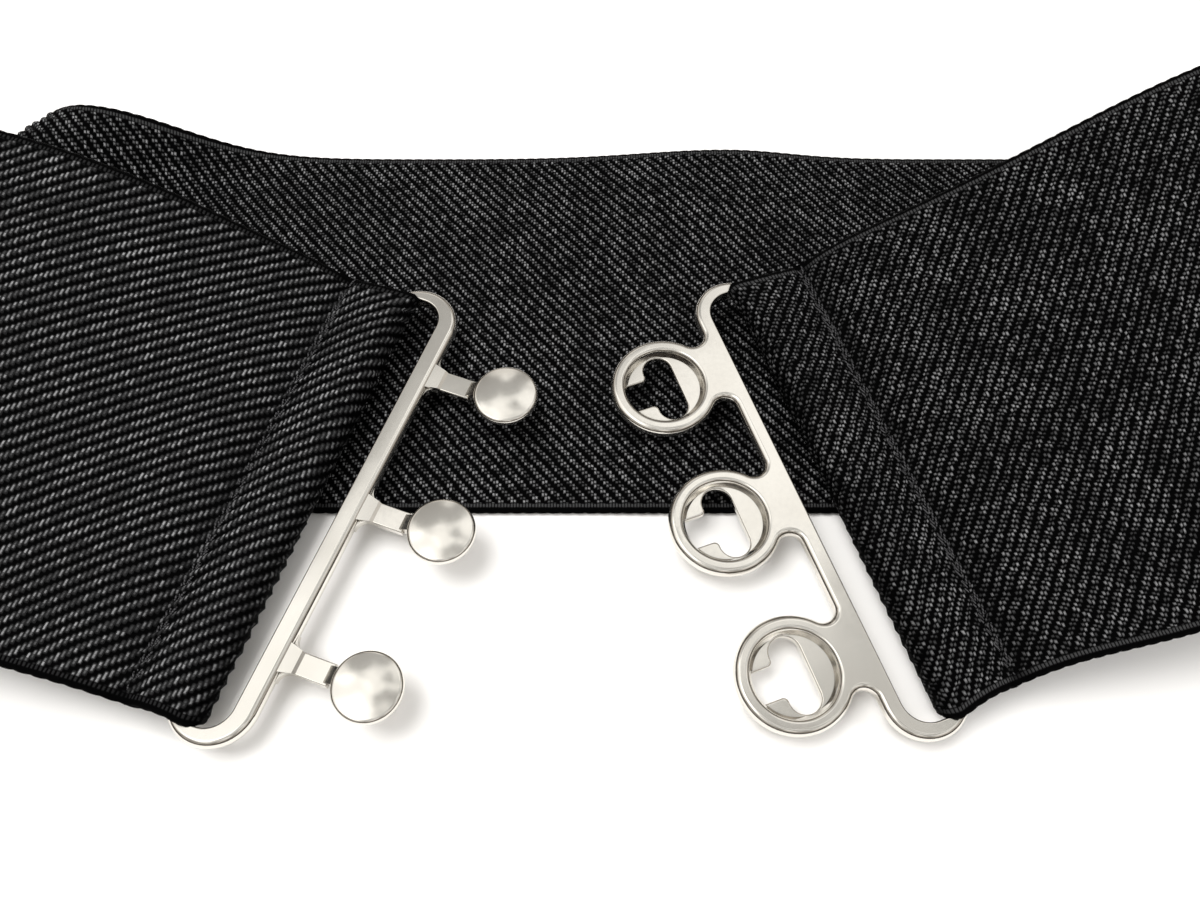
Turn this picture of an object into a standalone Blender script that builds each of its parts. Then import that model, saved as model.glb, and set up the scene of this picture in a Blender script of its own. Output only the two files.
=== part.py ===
"""An elastic stretch belt lying on a table as one loop, with an interlocking clasp on each end.

Metres, +Z up. The origin is the middle of the back run's underside, which lies on the table. X runs along
the back run, and Y runs from the clasps towards the back run's far edge.

The band is one ribbon: its hems fold round the inner bars of the clasp frames, its front runs rise to the
end bends, and its back run lies flat between them.
"""

import math

import bmesh
import bpy
import numpy as np
from mathutils import Matrix, Vector

# The band
BAND_WIDTH = 0.075
BAND_THICKNESS = 0.0014
HEM_LENGTH = 0.0125
CLEARANCE = 0.0003

# The loop that it lies in
HALF_SPAN = 0.150
LOOP_HEIGHT = 0.040
STUD_BEND_HEIGHT = 0.0324
RING_BEND_HEIGHT = 0.0357

# The clasps: frames, studs and rings
CLASP_THICKNESS = 0.0024
STUD_BAR_WIDTH = 0.0033
RING_BAR_WIDTH = 0.0027
INNER_BAR_WIDTH = 0.0022
SLOT_WIDTH = 0.0080
SLOT_END_GAP = 0.0005
FRAME_END_WIDTH = 0.00245
EDGE_ROUND = 0.0006
UNIT_COUNT = 3
UNIT_PITCH = 0.025

RING_DIAMETER = 0.0174
RING_REACH = 0.01235
ROOT_FILLET = 0.0019
RECESS_DIAMETER = 0.0142
RECESS_DEPTH = 0.0014
RECESS_DRAFT = 0.0005
KEYHOLE_LENGTH = 0.0116
KEYHOLE_WIDTH = 0.0047
KEYHOLE_SHIFT = 0.00025
KEYHOLE_STEM_WIDTH = 0.0047
KEYHOLE_FILLET = 0.0008

STUD_DIAMETER = 0.0104
STUD_REACH = 0.0166
STUD_THICKNESS = 0.0016
STUD_DOME = 0.0003
STUD_LIFT = 0.0026
TAB_WIDTH = 0.0035
TAB_THICKNESS = 0.0014
TAB_FOOT = 0.00015
NECK_WIDTH = 0.0026

# Where the clasps lie: turned from the Y axis, and spaced between the edges that face their slots. For the
# stud clasp (-1) and the ring clasp (1), how far each is set in over the back run's near edge, and how high
# the near end of its fold is off the table
CLASP_LEAN = math.radians(20.3)
CLASP_SPACING = 0.0701
CLASP_SET_IN = {-1: 0.0, 1: 0.0010}
NEAR_HEM_LIFT = {-1: 0.0012, 1: 0.0004}

# Each hem: the gap from its fold to the clasp's outer bar as a share of the slot, the turn of the fold
# against that bar and the rise of the hem from the clasp's plane, both in degrees, and how far the hem
# drifts towards the near side and spreads by its seam, as shares of the band's width
HEMS = {
    # side: gap, skew, rise, drift, spread
    -1: (0.50, 1.8, 12.0, 0.010, 0.020),
    1: (0.64, -0.8, 16.0, -0.002, 0.010),
}

# Each front run between the hem and its bend: x as a share of the half span, y of the band's width, z of
# the loop's height, the lean and roll of the cross line in degrees, and its length in band widths
RUNS = {
    # x, y, z, lean, roll, width
    -1: (
        (-0.542, -0.330, 0.490, -17.2, 7.0, 1.018),
        (-0.683, -0.252, 0.618, -14.6, 6.6, 1.000),
        (-0.820, -0.205, 0.711, -11.4, 4.4, 0.990),
    ),
    1: (
        (0.510, -0.323, 0.492, 18.8, 6.6, 1.010),
        (0.642, -0.224, 0.669, 16.7, 8.2, 1.010),
        (0.773, -0.138, 0.803, 14.6, 8.6, 1.005),
    ),
}

# Each end bend, a round turn that the front run enters on a slope: the x of its centre as a share of the
# half span, the y where it starts as a share of the band's width, and the slope, lean and roll there
BENDS = {
    # side: centre, start y, slope, lean, roll
    -1: (0.943, -0.185, 17.8, -10.1, 3.7),
    1: (0.895, -0.110, 14.2, 13.4, 8.5),
}

# The swells of the back run, highest at the far edge: place and its spreads to the left and right along X
# as shares of the half span, height as a share of the loop's height, slant (X over Y) of the ridge, and how
# far the swell reaches in from the far edge as a share of the band's width
SWELLS = (
    # place, left, right, height, slant, reach
    (-0.605, 0.069, 0.102, 0.330, 1.10, 0.62),
    (0.190, 0.110, 0.080, 0.064, 0.30, 0.45),
)

# How finely the shapes are divided
BAND_STEP = 0.0055
BAND_COLUMNS = 8
FOLD_STEPS = 8
HEM_STEPS = 4
BEND_STEPS = 14
ROUND_STEPS = 24


def clear_scene():
    for item in list(bpy.data.objects):
        bpy.data.objects.remove(item)


def material(name, colour, roughness, metallic):
    made = bpy.data.materials.new(name)
    made.use_nodes = True
    shader = made.node_tree.nodes["Principled BSDF"]
    shader.inputs["Base Color"].default_value = (*colour, 1.0)
    shader.inputs["Roughness"].default_value = roughness
    shader.inputs["Metallic"].default_value = metallic
    return made


def object_of(name, mesh, made_of=None, parent=None):
    made = bpy.data.objects.new(name, mesh)
    bpy.context.scene.collection.objects.link(made)
    made.parent = parent
    if made_of:
        mesh.materials.append(made_of)
    return made


def arc(centre, radius, start, end, steps):
    """Points on an arc from one angle to the other, both ends included, in degrees."""
    turns = [math.radians(start + (end - start) * step / steps) for step in range(steps + 1)]
    return [(centre[0] + radius * math.cos(turn), centre[1] + radius * math.sin(turn)) for turn in turns]


def loft(name, outline, sections):
    """A closed solid through one outline at several heights.

    A section is a height and how far in the outline is drawn there.
    """
    shape = bmesh.new()
    loops = [[shape.verts.new((*point, height)) for point in outline(inset)] for height, inset in sections]
    for lower, upper in zip(loops, loops[1:]):
        for here in range(len(lower)):
            after = (here + 1) % len(lower)
            shape.faces.new((lower[here], lower[after], upper[after], upper[here]))
    shape.faces.new(reversed(loops[0]))
    shape.faces.new(loops[-1])
    mesh = bpy.data.meshes.new(name)
    shape.to_mesh(mesh)
    shape.free()
    return mesh


def rounded_sections(bottom, top, rounding):
    """Heights and insets of a plate whose top and bottom edges are rounded."""
    corner = rounding * (1 - math.sqrt(0.5))
    lower = [(bottom, rounding), (bottom + corner, corner), (bottom + rounding, 0.0)]
    return lower + [(bottom + top - height, inset) for height, inset in reversed(lower)]


def cut_sections(bottom, top, rounding):
    """The same for a cutter through that plate, which flares past both faces to round the hole's edges."""
    corner = rounding * (1 - math.sqrt(0.5))
    lower = [(bottom - corner, -rounding), (bottom, -rounding + corner), (bottom + rounding, 0.0)]
    return lower + [(bottom + top - height, inset) for height, inset in reversed(lower)]


def boolean(target, operation, other):
    change = target.modifiers.new(f"{operation.title()} {other.name}", "BOOLEAN")
    change.operation = operation
    change.solver = "EXACT"
    change.object = other
    other.hide_render = True
    other.display_type = "WIRE"


def slot_half_length():
    return BAND_WIDTH / 2 + SLOT_END_GAP


def frame_half_length():
    return slot_half_length() + FRAME_END_WIDTH


def frame_half_depth(bar_width):
    return (bar_width + SLOT_WIDTH + INNER_BAR_WIDTH) / 2


def frame_ends(bar_width, inset):
    """The frame's two round ends, from the outer bar over the inner bar and back, as two point lists."""
    half_depth = frame_half_depth(bar_width)
    middle = bar_width - half_depth
    reach = frame_half_length() - half_depth
    far = arc((middle, reach), half_depth - inset, 0, 180, ROUND_STEPS // 2)
    near = arc((middle, -reach), half_depth - inset, 180, 360, ROUND_STEPS // 2)
    return far, near


def slot_outline(inset):
    """The slot for the band: wide round corners at the outer bar and tight ones at the inner bar."""
    wide = SLOT_WIDTH / 2
    tight = SLOT_WIDTH / 8
    half = slot_half_length()
    points = []
    for radius, x, y, start in (
        (wide, -wide, half - wide, 0),
        (tight, tight - SLOT_WIDTH, half - tight, 90),
        (tight, tight - SLOT_WIDTH, tight - half, 180),
        (wide, -wide, wide - half, 270),
    ):
        points += arc((x, y), radius - inset, start, start + 90, ROUND_STEPS // 4)
    return points


def unit_places():
    """The place along the bar of each stud or ring, the farthest one first."""
    return [UNIT_PITCH * ((UNIT_COUNT - 1) / 2 - number) for number in range(UNIT_COUNT)]


def ring_contour(inset):
    """The ring clasp's outer edge: the frame, and each ring blended into the outer bar by two fillets."""
    far, near = frame_ends(RING_BAR_WIDTH, inset)
    edge = RING_BAR_WIDTH - inset
    radius = RING_DIAMETER / 2 - inset
    fillet = ROOT_FILLET + inset
    across = RING_REACH - edge - fillet
    along = math.sqrt((radius + fillet) ** 2 - across**2)
    lean = math.degrees(math.atan2(along, across))
    points = far + near
    for place in reversed(unit_places()):
        points += arc((edge + fillet, place - along), fillet, 180, lean, ROUND_STEPS // 6)
        points += arc((RING_REACH, place), radius, lean - 180, 180 - lean, ROUND_STEPS)[1:-1]
        points += arc((edge + fillet, place + along), fillet, -lean, -180, ROUND_STEPS // 6)
    return points


def circle_outline(centre, radius):
    def outline(inset):
        return arc(centre, radius - inset, 0, 360, ROUND_STEPS)[:-1]

    return outline


def keyhole_outline(place):
    """The opening in a ring's floor: a long hole beside the bar, and a stem out to the recess wall.

    The two corners between them are round.
    """

    def outline(inset):
        half = KEYHOLE_LENGTH / 2 - inset
        end = KEYHOLE_WIDTH / 2 - inset
        stem = KEYHOLE_STEM_WIDTH / 2 - inset
        middle = RING_REACH - KEYHOLE_SHIFT
        wall = RING_REACH + RECESS_DIAMETER / 2 - RECESS_DRAFT - inset
        corner = middle + end + KEYHOLE_FILLET
        points = arc((middle, place + half - end), end, 0, 180, ROUND_STEPS // 2)
        points += arc((middle, place - half + end), end, 180, 360, ROUND_STEPS // 2)
        points += arc((corner, place - stem - KEYHOLE_FILLET), KEYHOLE_FILLET, 180, 90, ROUND_STEPS // 6)
        points += [(wall, place - stem), (wall, place + stem)]
        points += arc((corner, place + stem + KEYHOLE_FILLET), KEYHOLE_FILLET, 270, 180, ROUND_STEPS // 6)
        return points

    return outline


def tab_outline(place):
    """A stud's tab in plan, flared at its root by two fillets."""

    def outline(inset):
        edge = STUD_BAR_WIDTH
        half = TAB_WIDTH / 2 - inset
        tip = STUD_REACH - STUD_DIAMETER / 2 - ROOT_FILLET / 2 - inset
        fillet = ROOT_FILLET + inset
        near = arc((edge + fillet, place - half - fillet), fillet, 180, 90, ROUND_STEPS // 6)
        far = arc((edge + fillet, place + half + fillet), fillet, 270, 180, ROUND_STEPS // 6)
        root = edge - STUD_BAR_WIDTH / 3
        return (
            [(root, place - half - fillet)] + near + [(tip, place - half), (tip, place + half)] + far
            + [(root, place + half + fillet)]
        )

    return outline


def side_block(name, profile, place, widths):
    """A solid from a side profile in X and Z. Its half width at each end of X comes from widths."""
    low = min(x for x, _ in profile)
    high = max(x for x, _ in profile)
    shape = bmesh.new()
    sides = []
    for sign in (-1, 1):
        loop = []
        for x, z in profile:
            half = widths[0] + (widths[1] - widths[0]) * (x - low) / (high - low)
            loop.append(shape.verts.new((x, place + sign * half, z)))
        sides.append(loop)
    for here in range(len(profile)):
        after = (here + 1) % len(profile)
        shape.faces.new((sides[0][here], sides[0][after], sides[1][after], sides[1][here]))
    shape.faces.new(sides[0])
    shape.faces.new(sides[1])
    bmesh.ops.recalc_face_normals(shape, faces=shape.faces)
    mesh = bpy.data.meshes.new(name)
    shape.to_mesh(mesh)
    shape.free()
    return mesh


def fold_place(side):
    """The fold's place in its clasp: its centre, its radius at mid thickness, and the hem's rise."""
    gap, _, rise, _, _ = HEMS[side]
    rise = math.radians(rise)
    corner = EDGE_ROUND / 2
    bar = (CLASP_THICKNESS / 2 - corner) * math.cos(rise) + (INNER_BAR_WIDTH / 2 - corner) * math.sin(rise)
    radius = bar + corner + CLEARANCE + BAND_THICKNESS / 2
    bar_middle = -SLOT_WIDTH - INNER_BAR_WIDTH / 2
    centre_x = -gap * SLOT_WIDTH - radius - BAND_THICKNESS / 2
    centre_z = CLASP_THICKNESS / 2 - (centre_x - bar_middle) * math.tan(rise)
    return centre_x, centre_z, radius, rise


def clasp_frame(side):
    """The clasp's matrix: +X out of its outer bar, Z from its underside.

    Its fold lies on the back run's near edge, and the clasp tilts down from there towards the table.
    """
    centre_x, centre_z, radius, _ = fold_place(side)
    drop = radius + BAND_THICKNESS / 2 - centre_z
    set_in = CLASP_SET_IN[side]
    crossing = (set_in - centre_x * math.sin(CLASP_LEAN)) / math.cos(CLASP_LEAN)
    step = BAND_THICKNESS + CLEARANCE - NEAR_HEM_LIFT[side]
    tilt = math.atan(step / (BAND_WIDTH / 2 - crossing))
    height = BAND_THICKNESS + CLEARANCE + drop + crossing * math.tan(tilt)
    place = Vector((side * CLASP_SPACING / 2, set_in - BAND_WIDTH / 2, height))
    facing = -CLASP_LEAN if side < 0 else math.pi + CLASP_LEAN
    turn = Matrix.Rotation(facing, 4, "Z") @ Matrix.Rotation(-side * tilt, 4, "X")
    return Matrix.Translation(place) @ turn


def clasp_empty(name, side):
    empty = bpy.data.objects.new(name, None)
    bpy.context.scene.collection.objects.link(empty)
    empty.matrix_world = clasp_frame(side)
    return empty


def shade(item):
    item.data.shade_smooth()
    item.data.set_sharp_from_angle(angle=math.radians(35))


def ring_clasp(metal):
    holder = clasp_empty("ring_clasp_place", 1)
    body = loft("ring_clasp", ring_contour, rounded_sections(0.0, CLASP_THICKNESS, EDGE_ROUND))
    clasp = object_of("ring_clasp", body, metal, holder)
    slot = loft("ring_slot_cut", slot_outline, cut_sections(0.0, CLASP_THICKNESS, EDGE_ROUND / 2))
    boolean(clasp, "DIFFERENCE", object_of("ring_slot_cut", slot, parent=holder))
    floor = CLASP_THICKNESS - RECESS_DEPTH
    lip = EDGE_ROUND / 2
    for number, place in enumerate(unit_places(), 1):
        recess = loft(
            f"recess_cut_{number}",
            circle_outline((RING_REACH, place), RECESS_DIAMETER / 2),
            [
                (floor, RECESS_DRAFT + lip),
                (CLASP_THICKNESS - lip, lip),
                (CLASP_THICKNESS, 0.0),
                (CLASP_THICKNESS + lip, 0.0),
            ],
        )
        boolean(clasp, "DIFFERENCE", object_of(recess.name, recess, parent=holder))
        keyhole = loft(
            f"keyhole_cut_{number}",
            keyhole_outline(place),
            [(-CLASP_THICKNESS / 2, 0.0), (floor + RECESS_DEPTH / 4, 0.0)],
        )
        boolean(clasp, "DIFFERENCE", object_of(keyhole.name, keyhole, parent=holder))
    shade(clasp)


def stud_parts(number, place):
    """The meshes of one stud: its tab, the gusset at its root, its neck and its domed disc."""
    top = TAB_FOOT + TAB_THICKNESS
    tab = loft(f"tab_{number}", tab_outline(place), rounded_sections(TAB_FOOT, top, TAB_THICKNESS / 6))
    foot = (STUD_BAR_WIDTH * 0.85, TAB_FOOT * 2)
    gusset = side_block(
        f"gusset_{number}",
        (
            foot,
            (STUD_BAR_WIDTH + ROOT_FILLET * 1.2, TAB_FOOT * 2),
            (STUD_BAR_WIDTH + ROOT_FILLET * 1.2, top - TAB_FOOT / 2),
            (STUD_BAR_WIDTH * 0.85, CLASP_THICKNESS - EDGE_ROUND / 2),
        ),
        place,
        (TAB_WIDTH * 0.66, TAB_WIDTH * 0.46),
    )
    disc_edge = STUD_REACH - STUD_DIAMETER / 2
    neck = side_block(
        f"neck_{number}",
        (
            (disc_edge - ROOT_FILLET, TAB_FOOT * 2),
            (disc_edge + NECK_WIDTH * 0.5, TAB_FOOT * 2),
            (disc_edge + NECK_WIDTH, TAB_THICKNESS),
            (disc_edge + NECK_WIDTH, STUD_LIFT + STUD_THICKNESS / 4),
            (disc_edge + EDGE_ROUND, STUD_LIFT + STUD_THICKNESS / 4),
            (disc_edge - ROOT_FILLET, top - TAB_FOOT),
        ),
        place,
        (NECK_WIDTH / 2, NECK_WIDTH / 2),
    )
    crown = STUD_LIFT + STUD_THICKNESS
    radius = STUD_DIAMETER / 2
    disc = loft(
        f"disc_{number}",
        circle_outline((STUD_REACH, place), radius),
        [
            (STUD_LIFT, EDGE_ROUND / 2),
            (STUD_LIFT + EDGE_ROUND / 2, 0.0),
            (crown - EDGE_ROUND, 0.0),
            (crown - EDGE_ROUND * 0.3, EDGE_ROUND * 0.3),
            (crown, EDGE_ROUND),
            (crown + STUD_DOME * 0.6, radius * 0.5),
            (crown + STUD_DOME, radius * 0.85),
        ],
    )
    return tab, gusset, neck, disc


def stud_contour(inset):
    far, near = frame_ends(STUD_BAR_WIDTH, inset)
    return far + near


def stud_clasp(metal):
    holder = clasp_empty("stud_clasp_place", -1)
    body = loft("stud_clasp", stud_contour, rounded_sections(0.0, CLASP_THICKNESS, EDGE_ROUND))
    clasp = object_of("stud_clasp", body, metal, holder)
    slot = loft("stud_slot_cut", slot_outline, cut_sections(0.0, CLASP_THICKNESS, EDGE_ROUND / 2))
    boolean(clasp, "DIFFERENCE", object_of("stud_slot_cut", slot, parent=holder))
    for number, place in enumerate(unit_places(), 1):
        for mesh in stud_parts(number, place):
            boolean(clasp, "UNION", object_of(mesh.name, mesh, parent=holder))
    shade(clasp)


def hem_rows(side):
    """Cross lines of a hem from its stitched end, round the fold and over the inner bar to the seam again.

    Past the inner bar the lower layer closes up to the upper one, which it is stitched to.
    """
    frame = clasp_frame(side)
    _, skew, _, drift, spread = HEMS[side]
    skew = math.tan(math.radians(skew))
    centre_x, centre_z, radius, rise = fold_place(side)
    flat = HEM_LENGTH - radius - BAND_THICKNESS / 2
    past_bar = centre_x + SLOT_WIDTH + INNER_BAR_WIDTH + CLEARANCE
    closing = 2 * radius - BAND_THICKNESS - CLEARANCE
    profile = []
    for step in range(HEM_STEPS + 1):
        share = 1 - step / HEM_STEPS
        along = -past_bar - (flat - past_bar) * share
        profile.append((along, closing * share * share * (3 - 2 * share) - radius))
    profile += arc((0.0, 0.0), radius, -90, 90, FOLD_STEPS)
    profile += [(-flat / 2, radius), (-flat, radius)]
    rows = []
    for along, up in profile:
        x = centre_x + along * math.cos(rise) + up * math.sin(rise)
        z = centre_z - along * math.sin(rise) + up * math.cos(rise)
        share = max(0.0, -along / flat)
        row = []
        for column in range(BAND_COLUMNS + 1):
            y = -side * BAND_WIDTH * ((1 + spread * share) * (column / BAND_COLUMNS - 0.5) - drift * share)
            row.append(np.array(frame @ Vector((x - y * skew, y, z))))
        rows.append(row)
    return rows


def smooth_line(stations, start, end, step):
    """Points along a clamped cubic through the stations, whose first three columns are a place."""
    stations = np.array(stations, float)
    spans = np.linalg.norm(np.diff(stations[:, :3], axis=0), axis=1)
    count = len(stations)
    system = np.zeros((count, count))
    sides = np.zeros_like(stations)
    system[0, 0] = system[-1, -1] = 1.0
    sides[0], sides[-1] = start, end
    for here in range(1, count - 1):
        before, after = spans[here - 1], spans[here]
        system[here, here - 1 : here + 2] = after, 2 * (before + after), before
        rise_before = (stations[here] - stations[here - 1]) / before
        rise_after = (stations[here + 1] - stations[here]) / after
        sides[here] = 3 * (after * rise_before + before * rise_after)
    slopes = np.linalg.solve(system, sides)
    points = []
    for here, span in enumerate(spans):
        pieces = max(1, round(span / step))
        for piece in range(pieces):
            t = piece / pieces
            points.append(
                (1 + 2 * t) * (1 - t) ** 2 * stations[here]
                + t * (1 - t) ** 2 * span * slopes[here]
                + t * t * (3 - 2 * t) * stations[here + 1]
                + t * t * (t - 1) * span * slopes[here + 1]
            )
    return points


def bend_stations(side):
    """The end bend from the front run's slope to the table: place, lean and roll at each step."""
    centre, start_y, slope, lean, roll = BENDS[side]
    height = STUD_BEND_HEIGHT if side < 0 else RING_BEND_HEIGHT
    radius = (height - BAND_THICKNESS) / 2
    first, last = 90 + slope, -90
    stations = []
    for step in range(BEND_STEPS + 1):
        share = step / BEND_STEPS
        turn = math.radians(first + (last - first) * share)
        ease = (1 - share) ** 2 * (1 + 2 * share)
        x = side * (centre * HALF_SPAN + radius * math.cos(turn))
        z = BAND_THICKNESS / 2 + radius * (1 + math.sin(turn))
        stations.append((x, start_y * BAND_WIDTH * ease, z, lean * ease, roll * ease, 1.0))
    return stations


def slope(before, after):
    change = np.array(after) - np.array(before)
    return change / np.linalg.norm(change[:3])


def front_run(side, hem, bend):
    """Stations from the seam to the bend, smooth with the hem and with the bend."""
    seam = hem[-1]
    across = seam[-1] - seam[0]
    lean = -math.degrees(math.atan2(across[0], across[1]))
    roll = math.degrees(math.atan2(across[2], math.hypot(across[0], across[1])))
    middle = BAND_COLUMNS // 2
    stations = [(*seam[middle], lean, roll, np.linalg.norm(across) / BAND_WIDTH)]
    for x, y, z, *rest in RUNS[side]:
        stations.append((x * HALF_SPAN, y * BAND_WIDTH, z * LOOP_HEIGHT, *rest))
    stations.append(bend[0])
    start = (*slope(hem[-2][middle], seam[middle]), 0.0, 0.0, 0.0)
    return smooth_line(stations, start, slope(bend[0], bend[1]), BAND_STEP)


def swell_height(x, y):
    """How far the back run is lifted off the table at a place."""
    height = 0.0
    for place, left, right, rise, slant, reach in SWELLS:
        inner = BAND_WIDTH * (0.5 - reach)
        share = min(1.0, max(0.0, (y - inner) / (BAND_WIDTH / 2 - inner)))
        ridge = place * HALF_SPAN + slant * (y - BAND_WIDTH / 2)
        away = (x - ridge) / ((left if x < ridge else right) * HALF_SPAN)
        height += rise * LOOP_HEIGHT * math.sin(0.5 * math.pi * share) ** 1.5 * math.exp(-(away**2) / 2)
    return height


def cross_line(station):
    """The points across the band at a station: its place, its lean and roll in degrees, its width."""
    lean, roll = math.radians(station[3]), math.radians(station[4])
    across = np.array((-math.sin(lean) * math.cos(roll), math.cos(lean) * math.cos(roll), math.sin(roll)))
    shares = [column / BAND_COLUMNS - 0.5 for column in range(BAND_COLUMNS + 1)]
    return [np.array(station[:3]) + share * station[5] * BAND_WIDTH * across for share in shares]


def back_run(start, end):
    """Cross lines of the flat run between the two bends, both ends left out, with its swells."""
    pieces = round((end - start) / BAND_STEP)
    rows = []
    for piece in range(1, pieces):
        row = cross_line((start + (end - start) * piece / pieces, 0.0, BAND_THICKNESS / 2, 0.0, 0.0, 1.0))
        rows.append([point + np.array((0.0, 0.0, swell_height(point[0], point[1]))) for point in row])
    return rows


def band_rows():
    """Every cross line of the band, from the stud clasp's hem to the ring clasp's hem."""
    halves = {}
    for side in (-1, 1):
        hem = hem_rows(side)
        bend = bend_stations(side)
        run = front_run(side, hem, bend)
        halves[side] = hem + [cross_line(station) for station in run[1:] + bend]
    flat = back_run(halves[-1][-1][0][0], halves[1][-1][0][0])
    return halves[-1] + flat + halves[1][::-1]


def elastic_band(elastic):
    shape = bmesh.new()
    rows = [[shape.verts.new(point) for point in row] for row in band_rows()]
    for row, following in zip(rows, rows[1:]):
        for column in range(BAND_COLUMNS):
            shape.faces.new((row[column], following[column], following[column + 1], row[column + 1]))
    mesh = bpy.data.meshes.new("elastic_band")
    shape.to_mesh(mesh)
    shape.free()
    band = object_of("elastic_band", mesh, elastic)
    wall = band.modifiers.new("Thickness", "SOLIDIFY")
    wall.thickness = BAND_THICKNESS
    wall.offset = 0.0
    wall.use_even_offset = True
    wall.use_quality_normals = True
    shade(band)


def main():
    clear_scene()
    elastic = material("black_elastic", (0.012, 0.012, 0.013), 0.85, 0.0)
    metal = material("nickel", (0.72, 0.70, 0.66), 0.28, 1.0)
    elastic_band(elastic)
    stud_clasp(metal)
    ring_clasp(metal)


main()
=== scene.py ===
"""The looks of an elastic stretch belt that lies on a white table, its interlocking clasp open.

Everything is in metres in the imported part's frame: the origin is under the middle of the back run, +X runs
along it, and +Y points from the clasps to its far edge. The band is one closed mesh whose rows follow the
diagonal ribs of its weave, and both clasp halves are turned out finely from the part's own sizes.
"""

import math

import bmesh
import bpy
import numpy as np
from mathutils import Matrix, Vector


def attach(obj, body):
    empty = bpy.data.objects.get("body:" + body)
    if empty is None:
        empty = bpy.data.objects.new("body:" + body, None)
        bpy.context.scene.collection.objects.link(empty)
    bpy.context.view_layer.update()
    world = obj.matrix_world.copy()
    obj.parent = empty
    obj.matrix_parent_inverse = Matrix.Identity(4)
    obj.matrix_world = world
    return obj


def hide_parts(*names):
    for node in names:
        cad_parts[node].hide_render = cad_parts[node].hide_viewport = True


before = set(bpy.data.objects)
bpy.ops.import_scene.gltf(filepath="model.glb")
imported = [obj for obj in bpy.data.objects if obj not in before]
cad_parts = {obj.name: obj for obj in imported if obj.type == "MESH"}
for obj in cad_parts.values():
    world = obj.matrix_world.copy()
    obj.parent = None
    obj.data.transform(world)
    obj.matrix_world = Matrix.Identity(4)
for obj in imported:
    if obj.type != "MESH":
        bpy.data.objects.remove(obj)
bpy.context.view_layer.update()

# The band
BAND_WIDTH = 0.075
BAND_THICKNESS = 0.0014
HEM_LENGTH = 0.0125
CLEARANCE = 0.0003

# The loop that it lies in
HALF_SPAN = 0.150
LOOP_HEIGHT = 0.040
BEND_HEIGHTS = {-1: 0.0324, 1: 0.0357}

# The clasps: frames, studs and rings
CLASP_THICKNESS = 0.0024
BAR_WIDTHS = {-1: 0.0033, 1: 0.0027}
INNER_BAR_WIDTH = 0.0022
SLOT_WIDTH = 0.0080
SLOT_END_GAP = 0.0005
FRAME_END_WIDTH = 0.00245
EDGE_ROUND = 0.0006
UNIT_COUNT = 3
UNIT_PITCH = 0.025

RING_DIAMETER = 0.0174
RING_REACH = 0.01235
ROOT_FILLET = 0.0019
RECESS_DIAMETER = 0.0142
RECESS_DEPTH = 0.0014
RECESS_DRAFT = 0.0005
KEYHOLE_LENGTH = 0.0116
KEYHOLE_WIDTH = 0.0047
KEYHOLE_SHIFT = 0.00025
KEYHOLE_STEM_WIDTH = 0.0047
KEYHOLE_FILLET = 0.0008

STUD_DIAMETER = 0.0104
STUD_REACH = 0.0166
STUD_THICKNESS = 0.0016
STUD_LIFT = 0.0026
TAB_WIDTH = 0.0035
TAB_THICKNESS = 0.0014
TAB_FOOT = 0.00015
NECK_WIDTH = 0.0026

# Where the clasps lie: turned from the Y axis, and spaced between the edges that face their slots. For the
# stud clasp (-1) and the ring clasp (1), how far each is set in over the back run's near edge, and how high
# the near end of its fold is off the table
CLASP_LEAN = math.radians(20.3)
CLASP_SPACING = 0.0701
CLASP_SET_IN = {-1: 0.0, 1: 0.0010}
NEAR_HEM_LIFT = {-1: 0.0012, 1: 0.0004}

# Each hem: the gap from its fold to the clasp's outer bar as a share of the slot, the turn of the fold
# against that bar and the rise of the hem from the clasp's plane, both in degrees, and how far the hem
# drifts towards the near side and spreads by its seam, as shares of the band's width. The layer over the
# inner bar is the freer the higher it is, and its far corner starts at a share of the width
HEM_FREEDOM = 1.2
HEM_CORNER = 0.84
HEMS = {
    # side: gap, skew, rise, drift, spread
    -1: (0.50, 1.8, 12.0, 0.010, 0.020),
    1: (0.64, -0.8, 16.0, -0.002, 0.010),
}

# How far each fold is drawn back from the outer bar. Of the layer over the inner bar, how far its far and
# near edges spread over the slot's ends, and how far its far corner is pushed out
FOLDS = {
    # side: back, far spread, near spread, push
    -1: (0.0005, 0.0009, 0.0013, 0.0024),
    1: (0.0, 0.0016, 0.0015, 0.0024),
}

# Each front run between the hem and its bend: x as a share of the half span, y of the band's width, z of
# the loop's height, the lean and roll of the cross line in degrees, and its length in band widths
RUNS = {
    # x, y, z, lean, roll, width
    -1: (
        (-0.542, -0.330, 0.490, -17.2, 7.0, 1.018),
        (-0.683, -0.241, 0.618, -14.6, 6.6, 0.985),
        (-0.820, -0.184, 0.711, -11.4, 4.4, 0.968),
    ),
    1: (
        (0.510, -0.327, 0.492, 18.8, 6.6, 1.020),
        (0.642, -0.224, 0.669, 16.7, 8.2, 1.010),
        (0.773, -0.131, 0.803, 14.6, 8.6, 0.993),
    ),
}

# Each end bend, a round turn that the front run enters on a slope: the x of its centre as a share of the
# half span, the y where it starts as a share of the band's width, and the slope, lean and roll there
BENDS = {
    # side: centre, start y, slope, lean, roll
    -1: (0.943, -0.185, 17.8, -10.1, 3.7),
    1: (0.895, -0.110, 14.2, 13.4, 8.5),
}

# The swells of the back run, highest at the far edge: place and its spreads to the left and right along X
# as shares of the half span, height as a share of the loop's height, slant (X over Y) of the ridge, and how
# far the swell reaches in from the far edge as a share of the band's width
SWELLS = (
    # place, left, right, height, slant, reach
    (-0.598, 0.062, 0.104, 0.345, 1.10, 0.62),
    (0.190, 0.110, 0.080, 0.064, 0.30, 0.45),
)

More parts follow.
